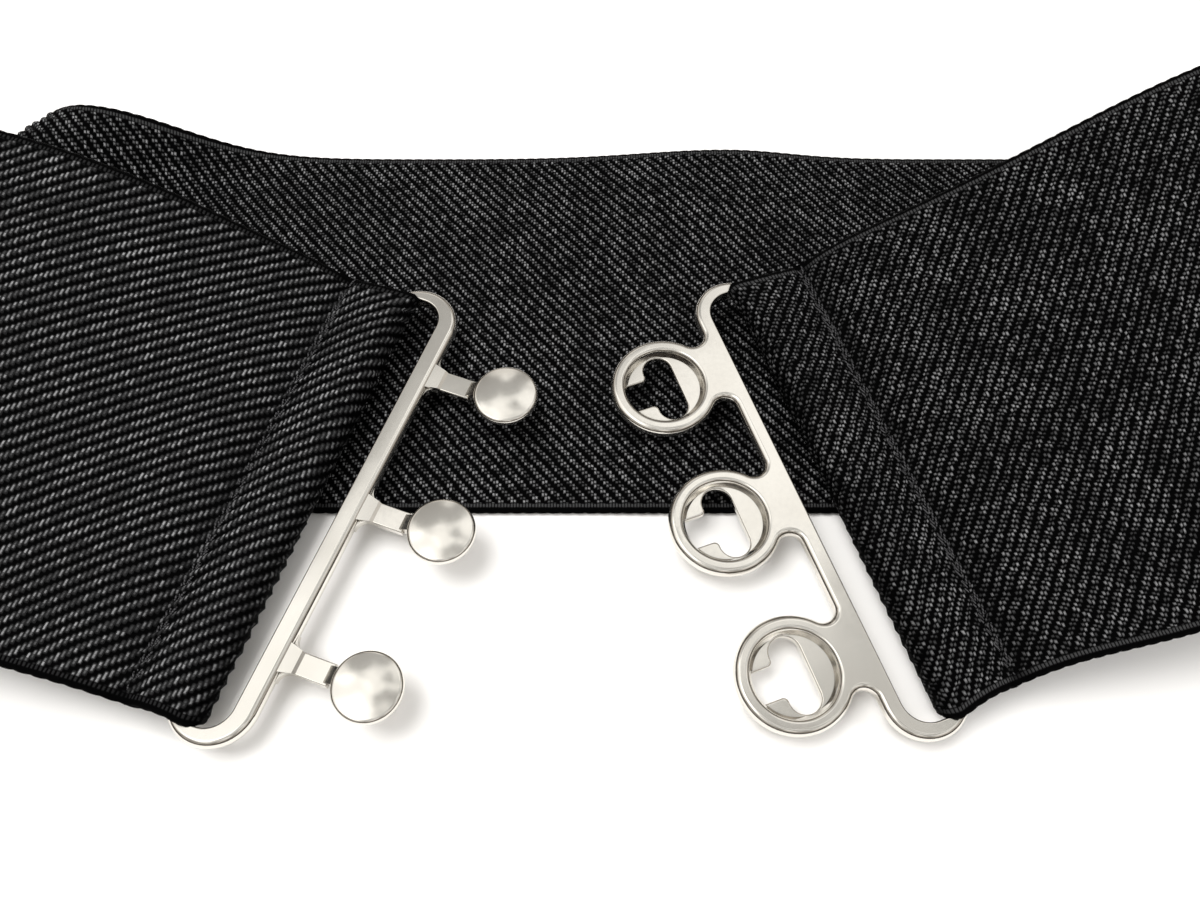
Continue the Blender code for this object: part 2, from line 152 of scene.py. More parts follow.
# The weave: one cell of the twill across the band, and along it at shares of the ribbon's length, because
# the left front run is stretched a little. A rib crosses each cell once, and a cell holds four picks. Beside
# each edge is a margin without ribs, where the wall tapers by a share, the edge is drawn in a little, and
# each rib's crest pushes it out again
CELL_ACROSS = 0.00226
CELL_ALONG = ((0.0, 0.00238), (0.16, 0.00248), (0.30, 0.00197), (0.75, 0.00197), (1.0, 0.00188))
PICKS = 4
RIB_CREST = 0.00006
RIB_SHOULDER = -0.00002
RIB_GROOVE = -0.00030
RIB_MARGIN = 0.0016
EDGE_BUMP = 0.00012
EDGE_TAPER = 0.38
EDGE_SHRINK = 0.0002

# How far round each fold the webbing's tone is darkened by painted shade
FOLD_SHADE_REACH = 0.0027

# The seam that holds each hem: how far it draws both layers down and how deep it pulls the face in, each with
# its reach towards the hem and the run, and its thread, two rows of stitches that slant towards each other
SEAM_SAG = 0.0015
SAG_REACH = (0.0040, 0.0050)
SEAM_DEPTH = 0.0009
SEAM_REACH = (0.0008, 0.0019)
STITCH_PITCH = 0.0013
STITCH_LENGTH = 0.0024
STITCH_SLANT = 0.00030
STITCH_OFFSET = 0.00028
STITCH_RADIUS = 0.00015
STITCH_RISE = 0.00022
STITCH_STEPS = 7
STITCH_LENGTHS = (0.8, 1.0)
STITCH_LEANS = (0.7, 1.3)
THREAD_SIDES = 6
THREAD_SEED = 11

# How finely the band is divided: columns across a face, steps round an edge, and spacing of the guide rows
COLUMNS = 30
EDGE_STEPS = 6
GUIDE_STEP = 0.0005
GUIDE_COLUMNS = 32
FOLD_STEPS = 40
HEM_STEPS = 16
BEND_STEPS = 100

# The clasps' castings: their worn edges, the lips of their recesses and keyholes, the crown of the studs,
# and the angle past which an edge looks sharp
SOFT_EDGE = 0.0010
SOFT_LIP = 0.0007
SOFT_KEY = 0.0003
SOFT_DOME = 0.00042
SHARP_ANGLE = math.radians(26)

# The gusset at each tab's root, as shares of the bar, the fillet, the tab's foot and the tab's width
GUSSET_ROOT = 0.85
GUSSET_REACH = 1.2
GUSSET_KNEE = 0.9
GUSSET_RISE = 2.2
GUSSET_WIDTHS = (0.66, 0.46)

# How finely the clasps are divided, and the steps of a quarter turn round their edges
ROUND_STEPS = 96
ROUNDING_STEPS = 5
DOME_STEPS = 8
QUARTER = [0.5 * math.pi * step / ROUNDING_STEPS for step in range(ROUNDING_STEPS + 1)]

# The webbing's look along the ribbon, in cells: where the stretched run ends and where the slack run starts
STRETCHED_END = (44.0, 64.0)
SLACK_START = (205.0, 230.0)
WEAVE_LOOK = {
    # usual, added where stretched, added where slack
    "wander": (0.16, 0.0, 0.20),
    "narrowing": (2.35, 0.7, 0.0),
    "pair_gap": (0.12, -0.05, 0.03),
    "bead_reach": (0.065, 0.04, 0.0),
    "cord": (0.26, -0.12, 0.0),
    "worn": (0.25, 0.0, 0.15),
    "shine": (0.82, 0.04, -0.08),
    "tick": (0.16, -0.10, 0.0),
}

# The plain selvage: from the middle of the band in millimetres, where it starts and where its ticks lie, and
# the ticks' soft half width
SELVAGE = (35.7, 35.95)
TICK_PLACE = 36.25
TICK_EDGE = (0.18, 0.42)

# The beads of the weave: the scales of their wander and wear, how far each pick wanders, where the wear
# sets in, the soft ends of a bead and of the rope under it, and how unlike each other the beads are
WANDER_SCALE = 1.1
WEAR_SCALE = 0.22
PICK_WANDER = 0.6
WEAR_EDGE = (0.35, 0.65)
BEAD_ENDS = (0.06, 0.055)
ROPE_EDGE = (0.14, 0.36)
ROPE_TONE = (0.10, 0.05)
SECOND_LUCK = 7.0
LUCK_IN_GAP = 0.05
LUCK_IN_REACH = 0.04
LUCK_IN_HEIGHT = (0.5, 0.7)
LUCK_IN_SHINE = (1.05, 0.22)
SHINE_POWER = 1.7
TICK_HEIGHT = 0.8
WEAVE_RELIEF = 0.00020
# Painted shade, as shares of the tone taken away: in each seam's valley and round each fold
SEAM_PAINTED_SHADE = -0.80
FOLD_PAINTED_SHADE = -0.85

# Colours and gloss
# The webbing's black, and the grey of the highlights painted on its beads
ELASTIC_BLACK_AND_GLINT = ((0.0006, 0.0006, 0.0007), (0.290, 0.293, 0.302))
ELASTIC_ROUGHNESS = (-0.36, 0.66)
THREAD_COLOURS = ((0.005, 0.005, 0.006), (0.062, 0.062, 0.066))
THREAD_TWIST = 1100.0
THREAD_BUMP = (0.6, 0.00004)
NICKEL_COLOURS = ((0.74, 0.71, 0.655), (0.84, 0.815, 0.765))
# Painted shade in the nickel's inner corners: its colour, the reach of the occlusion that masks it, and where
# it sets in
NICKEL_PAINTED_SHADE = (0.16, 0.145, 0.125)
PAINTED_SHADE_REACH = 0.0011
PAINTED_SHADE_EDGE = (0.40, 0.82)
NICKEL_ROUGHNESS = (0.12, 0.08)
NICKEL_WAVES = 140.0
NICKEL_GRAIN = 1500.0
NICKEL_BUMP = (0.35, 0.00010)
TABLE_COLOUR = (0.93, 0.925, 0.92, 1.0)
TABLE_SIZE = 6.0

# The camera, placed against the part's origin
CAMERA_PLACE = (0.00435, -0.1019, 0.1465)
CAMERA_PITCH = math.radians(62.5)
CAMERA_LENS = 30.0
CAMERA_SENSOR = 36.0

# The room that the metal reflects: its colours from the table up, where each fades into the next, and the
# glow of its clouds and of its window, which is its brightest part
TABLE_SIDE = (0.025, 0.020, 0.017)
WALL = (0.36, 0.33, 0.295)
CEILING = (0.82, 0.81, 0.785)
WALL_RISE = (0.22, 0.42)
CEILING_RISE = (0.42, 0.90)
CLOUD_SCALE = 4.2
CLOUD_EDGE = (0.40, 0.60)
CLOUD_GLOW = (0.62, 1.50)
WINDOW = (-0.46, -0.02, 0.888)
WINDOW_EDGE = (0.925, 0.945)
WINDOW_GLOW = 0.9

# The lamps, both aimed at the part's origin
LAMPS = {
    # name: place, size, power, colour
    "key": ((-0.46, 0.14, 1.20), (0.75, 0.75), 12.5, (1.0, 0.985, 0.965)),
    "fill": ((0.95, -0.30, 0.75), (0.35, 0.7), 5.0, (1.0, 0.99, 0.98)),
}


def arc(centre, radius, start, end, steps):
    """Points on an arc from one angle to the other, both ends included, in degrees."""
    turns = [math.radians(start + (end - start) * step / steps) for step in range(steps + 1)]
    return [(centre[0] + radius * math.cos(turn), centre[1] + radius * math.sin(turn)) for turn in turns]


# Guide rows of the band


def fold_place(side):
    """A fold's place in its clasp: its centre, its radius at mid thickness, and the hem's rise."""
    gap, _, rise, _, _ = HEMS[side]
    rise = math.radians(rise)
    corner = EDGE_ROUND / 2
    bar = (CLASP_THICKNESS / 2 - corner) * math.cos(rise) + (INNER_BAR_WIDTH / 2 - corner) * math.sin(rise)
    radius = bar + corner + CLEARANCE + BAND_THICKNESS / 2
    bar_middle = -SLOT_WIDTH - INNER_BAR_WIDTH / 2
    centre_x = -gap * SLOT_WIDTH - radius - BAND_THICKNESS / 2
    centre_z = CLASP_THICKNESS / 2 - (centre_x - bar_middle) * math.tan(rise)
    return centre_x, centre_z, radius, rise


def clasp_frame(side):
    """The clasp's matrix: +X out of its outer bar, Z from its underside."""
    centre_x, centre_z, radius, _ = fold_place(side)
    drop = radius + BAND_THICKNESS / 2 - centre_z
    set_in = CLASP_SET_IN[side]
    crossing = (set_in - centre_x * math.sin(CLASP_LEAN)) / math.cos(CLASP_LEAN)
    step = BAND_THICKNESS + CLEARANCE - NEAR_HEM_LIFT[side]
    tilt = math.atan(step / (BAND_WIDTH / 2 - crossing))
    height = BAND_THICKNESS + CLEARANCE + drop + crossing * math.tan(tilt)
    place = Vector((side * CLASP_SPACING / 2, set_in - BAND_WIDTH / 2, height))
    facing = -CLASP_LEAN if side < 0 else math.pi + CLASP_LEAN
    turn = Matrix.Rotation(facing, 4, "Z") @ Matrix.Rotation(-side * tilt, 4, "X")
    return Matrix.Translation(place) @ turn


def hem_rows(side):
    """Cross lines of a hem from its stitched end, round the fold and over the inner bar to the seam again."""
    clasp = clasp_frame(side)
    _, skew, _, drift, spread = HEMS[side]
    skew = math.tan(math.radians(skew))
    centre_x, centre_z, radius, rise = fold_place(side)
    flat = HEM_LENGTH - radius - BAND_THICKNESS / 2
    past_bar = centre_x + SLOT_WIDTH + INNER_BAR_WIDTH + CLEARANCE
    closing = 2 * radius - BAND_THICKNESS - CLEARANCE
    profile = []
    for step in range(HEM_STEPS + 1):
        share = 1 - step / HEM_STEPS
        along = -past_bar - (flat - past_bar) * share
        profile.append((along, closing * share * share * (3 - 2 * share) - radius))
    profile += [(-past_bar * (1 - step / HEM_STEPS), -radius) for step in range(1, HEM_STEPS)]
    profile += arc((0.0, 0.0), radius, -90, 90, FOLD_STEPS)
    profile += [(-flat * (step + 1) / HEM_STEPS, radius) for step in range(HEM_STEPS)]
    back, far, near, push = FOLDS[side]
    rows = []
    for along, up in profile:
        x = centre_x + along * math.cos(rise) + up * math.sin(rise)
        z = centre_z - along * math.sin(rise) + up * math.cos(rise)
        share = max(0.0, -along / flat)
        free = max(0.0, up / radius) ** HEM_FREEDOM * (1 - share) ** 2
        row = []
        for column in range(GUIDE_COLUMNS + 1):
            across = column / GUIDE_COLUMNS
            place = (1 + spread * share) * (across - 0.5) - drift * share
            place += free * (far * across - near * (1 - across)) / BAND_WIDTH
            corner = max(0.0, (across - HEM_CORNER) / (1 - HEM_CORNER))
            shift = push * free * corner**2 - back * (1 - share)
            y = -side * BAND_WIDTH * place
            row.append(np.array(clasp @ Vector((x - y * skew + shift, y, z))))
        rows.append(row)
    return rows


def smooth_line(stations, start, end, step):
    """Points along a clamped cubic through the stations, whose first three columns are a place."""
    stations = np.array(stations, float)
    spans = np.linalg.norm(np.diff(stations[:, :3], axis=0), axis=1)
    count = len(stations)
    system = np.zeros((count, count))
    sides = np.zeros_like(stations)
    system[0, 0] = system[-1, -1] = 1.0
    sides[0], sides[-1] = start, end
    for here in range(1, count - 1):
        before, after = spans[here - 1], spans[here]
        system[here, here - 1 : here + 2] = after, 2 * (before + after), before
        rise_before = (stations[here] - stations[here - 1]) / before
        rise_after = (stations[here + 1] - stations[here]) / after
        sides[here] = 3 * (after * rise_before + before * rise_after)
    slopes = np.linalg.solve(system, sides)
    points = []
    for here, span in enumerate(spans):
        pieces = max(1, round(span / step))
        for piece in range(pieces):
            t = piece / pieces
            points.append(
                (1 + 2 * t) * (1 - t) ** 2 * stations[here]
                + t * (1 - t) ** 2 * span * slopes[here]
                + t * t * (3 - 2 * t) * stations[here + 1]
                + t * t * (t - 1) * span * slopes[here + 1]
            )
    return points


def bend_stations(side):
    """The end bend from the front run's slope to the table: place, lean, roll and width at each step."""
    centre, start_y, slope_there, lean, roll = BENDS[side]
    radius = (BEND_HEIGHTS[side] - BAND_THICKNESS) / 2
    first, last = 90 + slope_there, -90
    stations = []
    for step in range(BEND_STEPS + 1):
        share = step / BEND_STEPS
        turn = math.radians(first + (last - first) * share)
        ease = (1 - share) ** 2 * (1 + 2 * share)
        x = side * (centre * HALF_SPAN + radius * math.cos(turn))
        z = BAND_THICKNESS / 2 + radius * (1 + math.sin(turn))
        stations.append((x, start_y * BAND_WIDTH * ease, z, lean * ease, roll * ease, 1.0))
    return stations


def slope(before, after):
    change = np.array(after) - np.array(before)
    return change / np.linalg.norm(change[:3])


def front_run(side, hem, bend):
    """Stations from the seam to the bend, smooth with the hem and with the bend."""
    seam = hem[-1]
    across = seam[-1] - seam[0]
    lean = -math.degrees(math.atan2(across[0], across[1]))
    roll = math.degrees(math.atan2(across[2], math.hypot(across[0], across[1])))
    middle = GUIDE_COLUMNS // 2
    stations = [(*seam[middle], lean, roll, np.linalg.norm(across) / BAND_WIDTH)]
    for x, y, z, *rest in RUNS[side]:
        stations.append((x * HALF_SPAN, y * BAND_WIDTH, z * LOOP_HEIGHT, *rest))
    stations.append(bend[0])
    start = (*slope(hem[-2][middle], seam[middle]), 0.0, 0.0, 0.0)
    return smooth_line(stations, start, slope(bend[0], bend[1]), GUIDE_STEP)


def swell_height(x, y):
    """How far the back run is lifted off the table at a place."""
    height = 0.0
    for place, left, right, rise, slant, reach in SWELLS:
        inner = BAND_WIDTH * (0.5 - reach)
        share = min(1.0, max(0.0, (y - inner) / (BAND_WIDTH / 2 - inner)))
        ridge = place * HALF_SPAN + slant * (y - BAND_WIDTH / 2)
        away = (x - ridge) / ((left if x < ridge else right) * HALF_SPAN)
        height += rise * LOOP_HEIGHT * math.sin(0.5 * math.pi * share) ** 1.5 * math.exp(-(away**2) / 2)
    return height


def cross_line(station):
    """The points across the band at a station: a place, the lean and roll in degrees, and a width share."""
    lean, roll = math.radians(station[3]), math.radians(station[4])
    across = np.array((-math.sin(lean) * math.cos(roll), math.cos(lean) * math.cos(roll), math.sin(roll)))
    shares = [column / GUIDE_COLUMNS - 0.5 for column in range(GUIDE_COLUMNS + 1)]
    return [np.array(station[:3]) + share * station[5] * BAND_WIDTH * across for share in shares]


def back_run(start, end):
    """Cross lines of the flat run between the two bends, both ends left out, with its swells."""
    pieces = round((end - start) / GUIDE_STEP)
    rows = []
    for piece in range(1, pieces):
        row = cross_line((start + (end - start) * piece / pieces, 0.0, BAND_THICKNESS / 2, 0.0, 0.0, 1.0))
        rows.append([point + np.array((0.0, 0.0, swell_height(point[0], point[1]))) for point in row])
    return rows


def band_guides():
    """Every cross line of the band, from the stud clasp's hem to the ring clasp's, and its seams' rows."""
    halves = {}
    seams = {}
    for side in (-1, 1):
        hem = hem_rows(side)
        bend = bend_stations(side)
        run = front_run(side, hem, bend)
        halves[side] = hem + [cross_line(station) for station in run[1:] + bend]
        seams[side] = len(hem) - 1
    flat = back_run(halves[-1][-1][0][0], halves[1][-1][0][0])
    rows = halves[-1] + flat + halves[1][::-1]
    return np.array(rows), (seams[-1], len(rows) - 1 - seams[1])


class Ribbon:
    """The band's middle surface, read by the distance along the ribbon and the place across it."""

    def __init__(self):
        self.rows, seams = band_guides()
        middle = self.rows[:, GUIDE_COLUMNS // 2]
        self.along = np.concatenate([[0.0], np.cumsum(np.linalg.norm(np.diff(middle, axis=0), axis=1))])
        self.length = self.along[-1]
        self.seams = [self.along[row] for row in seams]
        fold = 2 * HEM_STEPS + FOLD_STEPS // 2
        self.folds = (self.along[fold], self.along[-1 - fold])
        for end, place, side in zip((0.0, self.length), self.seams, (-1, 1)):
            away = -side * (self.along - place)
            sag = np.exp(-((away / np.where(away < 0, *SAG_REACH)) ** 2))
            sag += np.exp(-(((self.along - end) / SAG_REACH[0]) ** 2))
            self.rows[:, :, 2] -= SEAM_SAG * sag[:, None]
        run = np.gradient(self.rows, self.along, axis=0)
        across = np.gradient(self.rows, axis=1)
        normals = np.cross(run, across)
        self.normals = normals / np.linalg.norm(normals, axis=2, keepdims=True)
        shares, cells = zip(*CELL_ALONG)
        sizes = np.interp(self.along / self.length, shares, cells)
        steps = np.diff(self.along) * 2 / (sizes[1:] + sizes[:-1])
        self.cells = np.concatenate([[0.0], np.cumsum(steps)])

    def distance(self, cells):
        """The distance along the ribbon that this many cells of weave take."""
        return np.interp(cells, self.cells, self.along)

    def cells_at(self, distance):
        return np.interp(distance, self.along, self.cells)

    def seam_dip(self, distance):
        """How far the stitches pull the face in at a distance: sharply from the hem, gently from the run."""
        dip = np.zeros_like(distance)
        for place, side in zip(self.seams, (-1, 1)):
            away = -side * (distance - place)
            reach = np.where(away < 0, SEAM_REACH[0], SEAM_REACH[1])
            dip += SEAM_DEPTH * np.exp(-((away / reach) ** 2))
        return dip

    def fold_shade(self, distance):
        """How much painted shade darkens the face round a fold, from 0 to 1."""
        return sum(np.exp(-(((distance - fold) / FOLD_SHADE_REACH) ** 2)) for fold in self.folds)

    def point(self, distance, across, lift):
        """Points at a distance along and a place across, lifted off the middle surface to the inner side."""
        row = np.clip(np.searchsorted(self.along, distance, side="right") - 1, 0, len(self.along) - 2)
        step = ((distance - self.along[row]) / (self.along[row + 1] - self.along[row]))[..., None]
        spread = (across / BAND_WIDTH + 0.5) * GUIDE_COLUMNS
        column = np.clip(np.floor(spread).astype(int), 0, GUIDE_COLUMNS - 1)
        part = (spread - column)[..., None]

        def read(table):
            lower = table[row, column] * (1 - part) + table[row, column + 1] * part
            upper = table[row + 1, column] * (1 - part) + table[row + 1, column + 1] * part
            return lower * (1 - step) + upper * step

        return read(self.rows) + read(self.normals) * np.asarray(lift)[..., None]


# The band's mesh


def band_ring():
    """The closed ring of one mesh row: the place across, the side (1 inner, -1 outer, between them on the
    edges), and the share of the ribs' relief that each point takes."""
    half = BAND_WIDTH / 2
    radius = BAND_THICKNESS / 2
    ribbed = half - RIB_MARGIN
    face = [ribbed * (2 * column / COLUMNS - 1) for column in range(COLUMNS + 1)]
    face = [radius - half] + face + [half - radius]
    relief = [0.0] + [1.0] * (COLUMNS + 1) + [0.0]
    ring = [(place, -1.0, share) for place, share in zip(face, relief)]
    for step in range(1, EDGE_STEPS):
        turn = math.pi * step / EDGE_STEPS
        ring.append((half - radius + radius * math.sin(turn), -math.cos(turn), 0.0))
    ring += [(place, 1.0, share) for place, share in zip(face[::-1], relief[::-1])]
    for step in range(1, EDGE_STEPS):
        turn = math.pi * step / EDGE_STEPS
        ring.append((radius - half - radius * math.sin(turn), math.cos(turn), 0.0))
    return [np.array(column) for column in zip(*ring)]


def rib_height(phase):
    """The ribs' height at a phase in cells: a round crest at whole cells and a narrow groove between them."""
    share = np.abs((phase % 1.0) - 0.5) * 2
    return np.interp(share, (0.0, 0.5, 1.0), (RIB_GROOVE, RIB_SHOULDER, RIB_CREST))


def band_mesh(ribbon):
    """The closed band. Its rows lie at quarters of a cell along lines of equal weave phase, so that every rib
    has a crest, two shoulders and a groove, and rows that run past the ribbon's ends are cut off there."""
    across, facing, relief = band_ring()
    shear = across / CELL_ACROSS
    total = ribbon.cells[-1]
    first = math.floor(shear.min() * PICKS) - 1
    last = math.ceil((total + shear.max()) * PICKS) + 1
    phase = np.arange(first, last + 1)[:, None] / PICKS
    cells = phase - shear[None, :]
    distance = ribbon.distance(np.clip(cells, 0.0, total))
    outer, inner = rib_height(phase), rib_height(phase + 0.5)
    height = np.where(facing[None, :] < 0, outer, inner) * relief[None, :]
    height = height - np.where(facing[None, :] < -0.5, ribbon.seam_dip(distance), 0.0)
    thin = np.clip((np.abs(across) - BAND_WIDTH / 2 + RIB_MARGIN) / RIB_MARGIN, 0.0, 1.0)
    half_wall = BAND_THICKNESS / 2 * (1 - EDGE_TAPER * thin * thin * (3 - 2 * thin))
    lift = facing[None, :] * (half_wall[None, :] + height)
    edge = (np.abs(facing) < 0.99)[None, :]
    bump = (outer - RIB_GROOVE) / (RIB_CREST - RIB_GROOVE) * EDGE_BUMP
    out = np.sign(across)[None, :] * (bump - EDGE_SHRINK)
    place = across[None, :] + np.where(edge, out, 0.0)
    points = ribbon.point(distance, np.broadcast_to(place, distance.shape), lift)
    weave = np.stack([ribbon.cells_at(distance), np.broadcast_to(shear, distance.shape)], axis=-1)

    # Rows past an end of the ribbon share that end's points, so that only its own faces are made
    count = len(across)
    ids = np.arange(points.shape[0] * count).reshape(-1, count)
    starts = (cells <= 0).cumsum(axis=0).max(axis=0) - 1
    ends = points.shape[0] - (cells >= total).cumsum(axis=0).max(axis=0)
    for column in range(count):
        ids[: starts[column], column] = ids[starts[column], column]
        ids[ends[column] :, column] = ids[ends[column], column]
    faces = []
    for row in range(points.shape[0] - 1):
        for column in range(count):
            after = (column + 1) % count
            corners = (ids[row, column], ids[row, after], ids[row + 1, after], ids[row + 1, column])
            corners = list(dict.fromkeys(int(corner) for corner in corners))
            if len(corners) > 2:
                faces.append(corners)
    # Each cut end is closed from face to face and over both round edges
    last_column = 2 * COLUMNS + EDGE_STEPS + 4
    for row_ids, order in ((ids[0], 1), (ids[-1], -1)):
        for column in range(COLUMNS + 2):
            opposite = last_column - column
            cap = [row_ids[column + 1], row_ids[column], row_ids[opposite], row_ids[opposite - 1]]
            faces.append([int(corner) for corner in cap[::order]])
        for start in (COLUMNS + 2, last_column):
            cap = [row_ids[(start + step) % count] for step in range(EDGE_STEPS + 1)]
            faces.append([int(corner) for corner in cap[::-order]])
    used = np.unique(np.concatenate([np.array(face) for face in faces]))
    lookup = np.full(points.shape[0] * count, -1)
    lookup[used] = np.arange(len(used))
    corners = [[int(lookup[corner]) for corner in face] for face in faces]
    mesh = bpy.data.meshes.new("elastic_webbing")
    mesh.from_pydata(points.reshape(-1, 3)[used].tolist(), [], corners)
    layers = {
        "weave_along": weave[..., 0],
        "weave_across": weave[..., 1],
        "inner": np.broadcast_to(facing, distance.shape),
        "seam_shade": ribbon.seam_dip(distance) / SEAM_DEPTH,
        "fold_shade": ribbon.fold_shade(distance),
    }
    for name, values in layers.items():
        layer = mesh.attributes.new(name, "FLOAT", "POINT")
        layer.data.foreach_set("value", values.reshape(-1)[used].astype(np.float32))
    return mesh


def object_of(name, mesh):
    made = bpy.data.objects.new(name, mesh)
    bpy.context.scene.collection.objects.link(made)
    return made


def mesh_of(name, shape):
    mesh = bpy.data.meshes.new(name)
    shape.to_mesh(mesh)
    shape.free()
    return mesh


def tube(shape, points, radius, sides):
    """A closed tube along a line of points, capped flat at each end."""
    points = [Vector(point) for point in points]
    rings = []
    for place, before, after in zip(points, points[:1] + points, points[1:] + points[-1:]):
        run = (after - before).normalized()
        first = run.orthogonal().normalized()
        second = run.cross(first)
        turns = [2 * math.pi * side / sides for side in range(sides)]
        ring = [place + radius * (first * math.cos(turn) + second * math.sin(turn)) for turn in turns]
        rings.append([shape.verts.new(point) for point in ring])
    for lower, upper in zip(rings, rings[1:]):
        for side in range(sides):
            after = (side + 1) % sides
            shape.faces.new((lower[side], lower[after], upper[after], upper[side]))
    shape.faces.new(reversed(rings[0]))
    shape.faces.new(rings[-1])


def seam_thread(ribbon, number, name, finish):
    """The thread of one seam: two rows of stitches that slant together, their ends in the webbing."""
    shape = bmesh.new()
    count = int((BAND_WIDTH - 2 * RIB_MARGIN) / STITCH_PITCH)
    luck = np.random.default_rng(THREAD_SEED + number)
    for stitch in range(2 * count):
        start = RIB_MARGIN + stitch * STITCH_PITCH / 2 - BAND_WIDTH / 2
        row = (-1) ** stitch
        share = np.linspace(0.0, 1.0, STITCH_STEPS)
        across = start + STITCH_LENGTH * luck.uniform(*STITCH_LENGTHS) * share
        lean = STITCH_SLANT * luck.uniform(*STITCH_LEANS) * (2 * share - 1)
        distance = ribbon.seams[number] + row * (STITCH_OFFSET + lean)
        bottom = ribbon.seam_dip(distance) - BAND_THICKNESS / 2
        lift = bottom - STITCH_RISE * (np.sin(np.pi * share) * 2 - 1)
        tube(shape, ribbon.point(distance, across, lift), STITCH_RADIUS, THREAD_SIDES)
    mesh = mesh_of(name, shape)
    mesh.shade_smooth()
    mesh.materials.append(finish)
    thread = object_of(name, mesh)
    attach(thread, "root")
    return thread


def elastic_band(ribbon, finish):
    band = object_of("elastic_webbing", band_mesh(ribbon))
    shape = bmesh.new()
    shape.from_mesh(band.data)
    bmesh.ops.recalc_face_normals(shape, faces=shape.faces)
    shape.to_mesh(band.data)
    shape.free()
    band.data.shade_smooth()
    band.data.materials.append(finish)
    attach(band, "root")
    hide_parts("elastic_band")
    return band


# Node helpers


def shader_of(name):
    """A new material, the maths for its nodes, and its shader."""
    made = bpy.data.materials.new(name)
    made.use_nodes = True
    return made, Maths(made.node_tree), made.node_tree.nodes["Principled BSDF"]


class Maths:
    """Writes chains of nodes. Wherever a value goes in, the socket that feeds it may go in instead."""

    def __init__(self, tree):
        self.tree = tree

    def fill(self, made, given):
        """Gives a node's inputs, by name or number, their values."""
        for name, value in given.items():
            if isinstance(value, bpy.types.NodeSocket):
                self.tree.links.new(value, made.inputs[name])
            else:
                made.inputs[name].default_value = value

    def node(self, kind, given=None, **settings):
        made = self.tree.nodes.new(kind)
        for name, value in settings.items():
            setattr(made, name, value)
        self.fill(made, given or {})
        return made

    def __call__(self, operation, *values, clamp=False):
        """A Math node's result."""
        given = dict(enumerate(values))
        return self.node("ShaderNodeMath", given, operation=operation, use_clamp=clamp).outputs[0]

    def attribute(self, name):
        return self.node("ShaderNodeAttribute", attribute_name=name).outputs["Fac"]

    def ramp(self, value, low, high, start=0.0, end=1.0):
        """A smooth step from one value to another as a value goes from low to high."""
        given = {"Value": value, "From Min": low, "From Max": high, "To Min": start, "To Max": end}
        return self.node("ShaderNodeMapRange", given, interpolation_type="SMOOTHSTEP").outputs["Result"]

    def blend(self, share, first, second):
        """A number between two others by a share."""
        given = {0: share, 2: first, 3: second}
        return self.node("ShaderNodeMix", given, data_type="FLOAT").outputs[0]

    def mix(self, share, first, second):
        """A colour between two others by a share."""
        ends = [(*end, 1.0) if isinstance(end, tuple) else end for end in (first, second)]
        given = {"Factor": share, "A": ends[0], "B": ends[1]}
        return self.node("ShaderNodeMix", given, data_type="RGBA").outputs["Result"]

    def combine(self, *values):
        return self.node("ShaderNodeCombineXYZ", dict(enumerate(values))).outputs[0]

    def noise(self, vector, scale, detail=2.0, **settings):
        given = {"Vector": vector, "Scale": scale, "Detail": detail}
        return self.node("ShaderNodeTexNoise", given, **settings).outputs["Fac"]

    def bump(self, height, strength, distance):
        given = {"Strength": strength, "Distance": distance, "Height": height}
        return self.node("ShaderNodeBump", given).outputs["Normal"]


